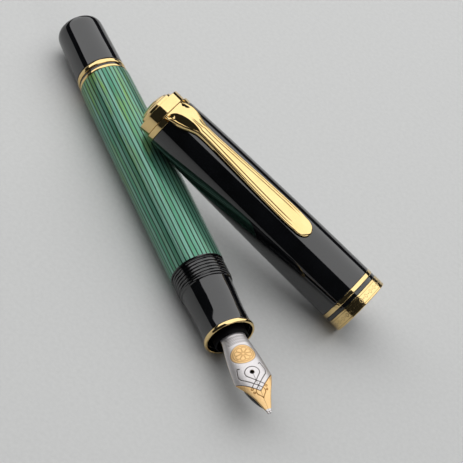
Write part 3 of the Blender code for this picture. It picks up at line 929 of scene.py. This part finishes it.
CAP_TABLE = [
    (6.45, 6.62), (11.2, 6.86), (20.6, 7.17), (32.0, 7.39), (46.0, 7.60), (63.9, 7.72),
]
CAP_THREAD_X = 58.5
CAP_THREAD_END = 61.4
CAP_BORE = 6.95


def cap_thread_relief(x, angle, radius):
    """Inside thread of the cap, one start, fading at both ends."""
    turn = (x - CAP_THREAD_X) / THREAD_PITCH - angle / math.tau
    crest = smoothstep(0.15, 0.85, 0.5 + 0.5 * np.cos(math.tau * turn))
    fade = smoothstep(CAP_THREAD_X, CAP_THREAD_X + 0.4, x)
    fade = fade * (1.0 - smoothstep(CAP_THREAD_END - 0.4, CAP_THREAD_END, x))
    inside = (x > CAP_THREAD_X) & (x < CAP_THREAD_END) & (radius < CAP_BORE + 0.01)
    return np.where(inside, radius - 0.25 * crest * fade, radius)


def make_cap_tube():
    outline = fillet([(6.45, 2.7, 0.0), (6.45, 6.62, 0.1), (7.2, 6.66, 0.0)], 4, False)
    outline += profile(CAP_TABLE, 8.0, 63.6, 1.6)
    outline += fillet([
        (63.8, 7.72, 0.0), (64.0, 7.72, 0.05), (64.0, 7.2, 0.0), (65.3, 7.2, 0.0),
        (65.3, 7.69, 0.06), (66.15, 7.69, 0.06), (66.15, 7.2, 0.0), (69.05, 7.2, 0.05),
        (69.05, CAP_BORE, 0.12), (68.0, CAP_BORE, 0.0),
    ], 4, False)
    rows = 40
    for step in range(rows + 1):
        x = CAP_THREAD_END + (CAP_THREAD_X - CAP_THREAD_END) * step / rows
        outline.append((x, CAP_BORE))
    outline += [(57.6, 6.45), (46.2, 6.4), (9.0, 6.05), (9.0, 2.7)]
    turned(
        "cap_tube_piece", outline, CAP, [BLACK_RESIN], "cap", ["cap_tube"], "black_resin",
        relief=cap_thread_relief,
    )


def make_cap_liner():
    outline = fillet([
        (11.8, 0.0, 0.0), (11.8, 5.6, 0.2), (12.2, 5.75, 0.0), (45.7, 6.05, 0.1),
        (45.7, 5.3, 0.2), (12.8, 5.0, 0.3), (12.8, 0.0, 0.0),
    ], 4, False)
    turned(
        "cap_liner_piece", outline, CAP, [DARK_PLASTIC], "cap", ["cap_liner"],
        "black_plastic",
    )


def make_finial():
    """Low dome with a flat band at its foot, a fine groove, and the stem inside."""
    outline = [(0.0, 0.0), (0.03, 0.9), (0.12, 1.8), (0.29, 2.6), (0.52, 3.25), (0.74, 3.7)]
    outline += fillet([
        (0.8, 3.8, 0.0), (0.86, 3.9, 0.03), (0.98, 3.86, 0.03), (1.0, 4.02, 0.04),
        (1.22, 4.42, 0.12), (1.34, 4.62, 0.12), (1.95, 4.62, 0.08), (1.95, 2.4, 0.0),
        (11.0, 2.4, 0.1), (11.0, 0.0, 0.0),
    ], 4, False)
    turned("finial_piece", outline, CAP, [TRIM_GOLD], "cap", ["finial"], "gold_trim")


BAND_START = 66.25
BAND_OUTER = 7.765
MOTIFS = 30


def band_motif(x, angle, radius):
    """Engraving of the lip band: two fine lines, and lozenges and dots between them."""
    across = x - (BAND_START + CAP_LENGTH) / 2.0
    along = angle * BAND_OUTER
    pitch = math.tau * BAND_OUTER / MOTIFS
    place = np.mod(along, pitch) - pitch / 2.0
    lozenge = np.abs(np.abs(across) / 0.62 + np.abs(place) / 0.5 - 0.8)
    cut_in = 1.0 - smoothstep(0.07, 0.2, lozenge)
    dot = np.hypot(across, np.abs(place) - pitch / 2.0)
    cut_in = np.maximum(cut_in, 1.0 - smoothstep(0.1, 0.19, dot))
    edge_line = np.abs(np.abs(across) - 0.98)
    cut_in = np.maximum(cut_in, 1.0 - smoothstep(0.03, 0.09, edge_line))
    return np.where(radius > BAND_OUTER - 0.001, cut_in * 0.7, 0.0)


def make_lip_band():
    x1 = CAP_LENGTH
    start = fillet([(BAND_START, 7.3, 0.0), (BAND_START, BAND_OUTER, 0.1),
                    (BAND_START + 0.2, BAND_OUTER, 0.0)], 4, False)
    middle = [(float(x), BAND_OUTER) for x in np.arange(BAND_START + 0.25, x1 - 0.25, 0.05)]
    end = fillet([(x1 - 0.24, BAND_OUTER, 0.0), (x1 - 0.14, BAND_OUTER, 0.05),
                  (x1, 7.63, 0.05), (x1, 7.3, 0.0)], 4, False)
    turned(
        "lip_band_piece", start + middle + end, CAP, [BAND_LOOK], "cap", ["lip_band"],
        "gold_trim", sides=900, engraving=(band_motif, 0.02),
    )


COLLAR = (4.9, 6.35, 2.7, 6.65)
GAP_HALF = math.radians(33.5)
GAP_FLOOR = 5.0


def make_collar_ring():
    """Step ring with a gap where the clip's root comes out over it."""
    x0, x1, inner, outer = COLLAR
    section = ring_outline(x0, x1, inner, outer, 0.14)
    sides = 160
    points = []
    for k in range(sides + 1):
        angle = math.pi / 2.0 + GAP_HALF + (math.tau - 2.0 * GAP_HALF) * k / sides
        for x, r in section:
            points.append((x, (r - TRIM) * math.cos(angle), (r - TRIM) * math.sin(angle)))
    count = len(section)
    faces = grid_faces(sides + 1, count)
    faces.append(list(range(count)))
    faces.append([sides * count + j for j in range(count)][::-1])
    # floor of the gap: a lower arc of the same ring
    offset = len(points)
    low = ring_outline(x0, x1, inner, GAP_FLOOR, 0.05)
    steps = 24
    for k in range(steps + 1):
        angle = math.pi / 2.0 - GAP_HALF + 2.0 * GAP_HALF * k / steps
        for x, r in low:
            points.append((x, r * math.cos(angle), r * math.sin(angle)))
    faces += shifted(grid_faces(steps + 1, len(low)), offset)
    add_piece(
        "collar_ring_piece", points, faces, CLIP, [TRIM_GOLD], "cap", ["collar_ring"],
        "gold_trim", welded=True,
    )


# x, half width, radius of the hollow underside, crest height, drop of the sides
CLIP_TABLE = [
    (4.95, 3.20, 5.60, 6.30, 0.92), (5.60, 3.30, 5.60, 6.72, 0.98), (6.25, 3.34, 5.75, 7.20, 1.02),
    (6.42, 3.34, 6.86, 7.30, 1.02), (7.6, 3.34, 7.00, 7.98, 1.10), (9.5, 3.00, 7.15, 8.46, 1.02),
    (11.5, 2.30, 7.30, 8.60, 0.78), (13.6, 1.66, 7.40, 8.58, 0.52), (15.5, 1.60, 7.45, 8.56, 0.45),
    (22.5, 1.85, 7.65, 8.62, 0.42), (34.3, 2.33, 7.90, 8.77, 0.40), (42.0, 2.5, 8.05, 8.86, 0.38),
    (45.5, 2.3, 8.05, 8.82, 0.36), (47.4, 1.72, 8.05, 8.74, 0.33), (48.2, 1.1, 8.05, 8.66, 0.28),
    (48.5, 0.35, 8.1, 8.55, 0.18),
]
CLIP_END = 48.5
TIP_START = 45.2               # where the blade's rounded end begins
TIP_HALF = 2.33
BEAD = 0.42                    # width of the bright bead along each edge
CREASE = 0.2                   # width of a fine crease
CREASE_STEP = 0.55             # from the flute's inner edge to the second crease
LEAF = (5.3, 13.4, 2.3)        # start, end and greatest width of the leaf-shaped flute
LEAF_DEPTH = 0.5               # depth of the flute on the side that faces the pen
BACK_LEAF_DEPTH = 0.1          # and of the slight dish on the other side
LEAST_THICK = 0.1              # metal left under the flute
ROOT_FLOOR = 5.15              # underside of the root, in the collar ring's gap


def leaf_width(xs):
    """Width of the flute: a leaf at the root, then a fine crease along the blade."""
    share = np.clip((xs - LEAF[0]) / (LEAF[1] - LEAF[0]), 0.0, 1.0)
    return CREASE + LEAF[2] * np.sin(math.pi * share ** 0.6) ** 0.9


def clip_columns(xs, half):
    """Distances from the edge to the columns of one half, which follow its features."""
    width = leaf_width(xs)
    fixed = np.minimum(1.0, half / 1.5)
    bead = [0.0, 0.02, 0.05, 0.09, 0.14, 0.2, 0.27, 0.34, 0.39]
    flute = [0.0, 0.025, 0.05, 0.075, 0.1, 0.13, 0.2, 0.3, 0.42, 0.54, 0.66, 0.78, 0.89, 1.0]
    ridge = [0.05, 0.12, 0.24, 0.38, 0.44, 0.49, 0.53, 0.57, 0.61, 0.66, 0.72]
    columns = [d * fixed for d in bead]
    columns += [(BEAD + share * width) * fixed for share in flute]
    inner = (BEAD + width) * fixed
    room = np.minimum(1.0, (half - inner) / 0.85)
    columns += [inner + d * room for d in ridge]
    last = columns[-1]
    columns += [last + (half - last) * (k + 1) / 7.0 for k in range(7)]
    return np.stack(columns, axis=1), width * fixed, fixed, room


def clip_half(xs, half, crest, drop, leaf_depth):
    """Heights and the share of painted crease shade over one half, from its edge to the middle
    line.
    """
    distance, width, fixed, room = clip_columns(xs, half)
    y = half[:, None] - distance
    t = y / half[:, None]
    z = crest[:, None] - drop[:, None] * np.abs(t) ** 2.2
    fixed = fixed[:, None]
    z -= 0.16 * fixed * (1.0 - smoothstep(0.0, 1.0, distance / (0.16 * fixed)))
    inward = (distance - BEAD * fixed) / width[:, None]
    leaf_share = smoothstep(CREASE, 1.5, leaf_width(xs))[:, None]
    near_wall = smoothstep(0.0, 0.32 - 0.2 * leaf_share, inward)
    far_wall = 1.0 - smoothstep(0.45 - 0.25 * leaf_share, 1.0, inward)
    walls = near_wall * far_wall
    fade = 1.0 - smoothstep(40.0, 45.0, xs)[:, None]
    z -= walls * (0.09 * fade + leaf_depth * leaf_share)
    # painted shade: the fine crease along the blade is darkened
    dark = walls * fade * (1.0 - leaf_share)
    # second crease: cut in, and darkened with painted shade
    second = np.abs(distance - (BEAD * fixed + width[:, None] + CREASE_STEP * room[:, None]))
    second = 1.0 - smoothstep(0.04, 0.12, second)
    second = second * smoothstep(9.0, 11.5, xs)[:, None] * fade
    z -= 0.08 * second
    return y, z, np.maximum(dark, second)


def make_clip():
    """Sprung clip: crowned blade with beaded edges, a flute each side of the root, creases
    darkened with painted shade.
    """
    xs = np.unique(np.round(np.concatenate([
        np.linspace(4.95, 14.0, 130), np.linspace(14.0, 45.2, 100),
        CLIP_END - (CLIP_END - TIP_START) * np.linspace(1.0, 0.0, 40) ** 2,
    ]), 4))
    half = spline(xs, CLIP_TABLE, 1)
    tip = np.clip((xs - TIP_START) / (CLIP_END - TIP_START), 0.0, 1.0)
    rounded = TIP_HALF * np.sqrt(np.maximum(1.0 - tip ** 2.2, 0.0)) + 0.03
    half = np.where(xs > TIP_START, rounded, half)
    under = spline(xs, CLIP_TABLE, 2)
    crest = spline(xs, CLIP_TABLE, 3)
    drop = spline(xs, CLIP_TABLE, 4)
    y, z, dark = clip_half(xs, half, crest, drop, LEAF_DEPTH)
    _, other_z, _ = clip_half(xs, half, crest, drop, BACK_LEAF_DEPTH)
    top_y = np.concatenate([-y, y[:, -2::-1]], axis=1)
    top_z = np.concatenate([z, other_z[:, -2::-1]], axis=1)
    top_z = np.maximum(top_z, np.sqrt(under[:, None] ** 2 - top_y ** 2) + LEAST_THICK)
    top_crease_shade = np.concatenate([dark, dark[:, -2::-1]], axis=1)
    under_y = half[:, None] * np.linspace(0.985, -0.985, 15)[None, :]
    under_z = np.sqrt(under[:, None] ** 2 - under_y ** 2)
    under_z = np.maximum(under_z, ROOT_FLOOR)
    all_y = np.concatenate([top_y, under_y], axis=1)
    all_z = np.concatenate([top_z, under_z], axis=1)
    all_crease_shade = np.concatenate([top_crease_shade, np.zeros(under_y.shape)], axis=1)
    rows, count = all_y.shape
    grid_x = np.repeat(xs[:, None], count, 1)
    points = np.stack([grid_x, all_y, all_z], axis=2).reshape(-1, 3)
    faces = grid_faces(rows, count)
    faces.append(list(range(count)))
    faces.append([(rows - 1) * count + j for j in range(count)][::-1])
    # the creases' painted shade goes in as the "engraved" value, which tints them dark brown
    add_piece(
        "clip_piece", points, faces, CLIP, [CLIP_GOLD_CREASE_SHADE], "clip", ["clip_arm"], "gold_trim",
        attributes={"engraved": all_crease_shade.ravel()}, sharp=50.0, welded=True,
    )


# ---- inner parts kept as they are

INNER_PARTS = [
    ("ink_reservoir", CLEAR_GREEN, "green_resin"), ("piston_seal", SEAL_PLASTIC, "seal_plastic"),
    ("piston_rod", DARK_PLASTIC, "black_plastic"), ("spindle", BRASS, "inner_brass"),
    ("guide_bush", BRASS, "inner_brass"), ("finial_nut", BRASS, "inner_brass"),
    ("bush_gasket", RUBBER, "gasket_rubber"),
]


def paint_inner_parts():
    for node, mat, slot in INNER_PARTS:
        obj = frame["nodes"][node]
        obj.data.materials.clear()
        obj.data.materials.append(mat)


# ---- stage, light, camera

def floor_material():
    n = Nodes("floor_look")
    speckle = n.noise(1.0, 4.0)
    tone = n.mix(n.scale(speckle, 0.3, 0.7), (0.60, 0.605, 0.60), (0.64, 0.645, 0.64))
    return n.finish(tone, 0.5, 0.0, n.bump(speckle, 0.01, 0.3))


def make_floor():
    size = 3.0
    corners = [(-size, -size, 0.0), (size, -size, 0.0), (size, size, 0.0), (-size, size, 0.0)]
    mesh = bpy.data.meshes.new("floor")
    mesh.from_pydata(corners, [], [(0, 1, 2, 3)])
    mesh.materials.append(floor_material())
    floor = bpy.data.objects.new("floor", mesh)
    bpy.context.scene.collection.objects.link(floor)


LAMP_SHARE = 4.0               # watts for a square metre of lamp with a radiance of one
OVERHEAD = ((-0.25, 0.37, 0.62), 1.5, 1.56)
OVERHEAD_UP = Vector((0.0, 0.966, -0.262))
LEFT_DOWN = Vector((-0.3, -0.25, -0.92)).normalized()
LEFT_HEIGHT = 0.42


def softbox(name, centre, right, up, width, height, radiance):
    """Rectangular light whose face is spanned by two directions and looks along up x right."""
    light = bpy.data.lights.new(name, "AREA")
    light.shape = "RECTANGLE"
    light.size = width
    light.size_y = height
    light.energy = radiance * LAMP_SHARE * width * height
    lamp = bpy.data.objects.new(name, light)
    bpy.context.scene.collection.objects.link(lamp)
    right = Vector(right).normalized()
    up = Vector(up).normalized()
    lamp.matrix_world = local_frame(Vector(centre), right, up)


def make_light():
    """A wide softbox overhead and behind, a panel hung from its left edge, and a dim room."""
    world = bpy.data.worlds.new("studio")
    world.use_nodes = True
    background = world.node_tree.nodes["Background"]
    background.inputs["Color"].default_value = (0.92, 0.96, 1.0, 1.0)
    background.inputs["Strength"].default_value = 0.02
    bpy.context.scene.world = world
    bpy.context.scene.view_settings.view_transform = "Standard"
    centre, width, height = OVERHEAD
    softbox("overhead", centre, (1.0, 0.0, 0.0), OVERHEAD_UP, width, height, 1.15)
    edge = Vector(centre) - Vector((width / 2.0, 0.0, 0.0))
    left_centre = edge + LEFT_DOWN * LEFT_HEIGHT / 2.0
    softbox("left", left_centre, -OVERHEAD_UP, -LEFT_DOWN, height, LEFT_HEIGHT, 1.15)
    softbox("right", (0.85, -0.5, 0.5), (0.5, 0.85, 0.0), (-0.45, 0.26, 0.85), 0.5, 0.5, 1.1)


def make_camera():
    """Long lens from the front and above, rolled so that the pen points down the picture."""
    knob = PEN.translation
    place = Vector((0.1430, -0.3755, 0.3563)) + Vector((knob.x, knob.y, 0.0))
    right = Vector((0.8007, 0.5036, 0.3245)).normalized()
    back = Vector((0.1553, -0.6977, 0.6994))
    back = (back - right * back.dot(right)).normalized()
    up = back.cross(right)
    camera = bpy.data.cameras.new("camera")
    camera.lens = 163.0
    camera.sensor_width = 36.0
    camera.clip_start = 0.01
    obj = bpy.data.objects.new("camera", camera)
    bpy.context.scene.collection.objects.link(obj)
    basis = Matrix((right, up, back)).transposed().to_4x4()
    obj.matrix_world = Matrix.Translation(place) @ basis
    bpy.context.scene.camera = obj


def main():
    make_knob()
    make_rings(PEN_RINGS)
    make_barrel()
    make_grip()
    make_nib_collar()
    make_nib()
    make_nib_tipping()
    make_feed()
    make_cap_tube()
    make_cap_liner()
    make_finial()
    make_rings(CAP_RINGS)
    make_collar_ring()
    make_lip_band()
    make_clip()
    paint_inner_parts()
    make_floor()
    make_light()
    make_camera()


main()
